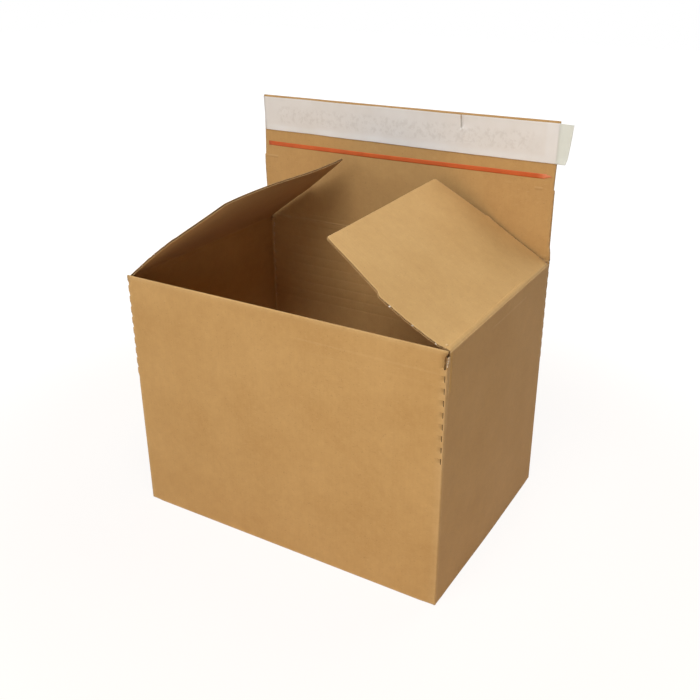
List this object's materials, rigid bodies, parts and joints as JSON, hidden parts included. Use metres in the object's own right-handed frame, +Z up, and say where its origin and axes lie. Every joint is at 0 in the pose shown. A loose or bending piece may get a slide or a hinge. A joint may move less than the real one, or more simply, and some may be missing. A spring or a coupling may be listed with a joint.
{
  "type": "adjustable height shipping box",
  "caption": "Corrugated shipping box, open, with cuts and pressed lines for lowering its height, hinged flaps, a tear strip and a peel-off closing strip.",
  "frame": {"origin": "on the floor, under the middle of the box's four walls", "axes": "+Z up, -Y out of the front wall, +X to the right seen from the front"},
  "size_m": [0.317, 0.22, 0.3589],
  "materials": {
    "board": "plain brown kraft board, matt, fine fibres",
    "tear_strip": "red-orange film tape",
    "adhesive": "greyish adhesive band",
    "liner": "smooth white silicone paper"
  },
  "bodies": {
    "box": {"box_body": "board"},
    "left": {"left_flap": "board"},
    "right": {"right_flap": "board"},
    "back": {"back_flap": "board", "tear_strip": "tear_strip", "adhesive_strip": "adhesive", "release_liner": "liner"}
  },
  "joints": [
    {"name": "left_flap_fold", "type": "hinge", "parent": "box", "child": "left", "pos_m": [-0.153, 0, 0.2305], "axis": [0, -1, 0], "range_deg": [-37, 228]},
    {"name": "right_flap_fold", "type": "hinge", "parent": "box", "child": "right", "pos_m": [0.153, 0, 0.2305], "axis": [0, 1, 0], "range_deg": [-30, 235]},
    {"name": "back_flap_fold", "type": "hinge", "parent": "box", "child": "back", "pos_m": [0, 0.11, 0.232], "axis": [-1, 0, 0], "range_deg": [0, 177.5]}
  ]
}
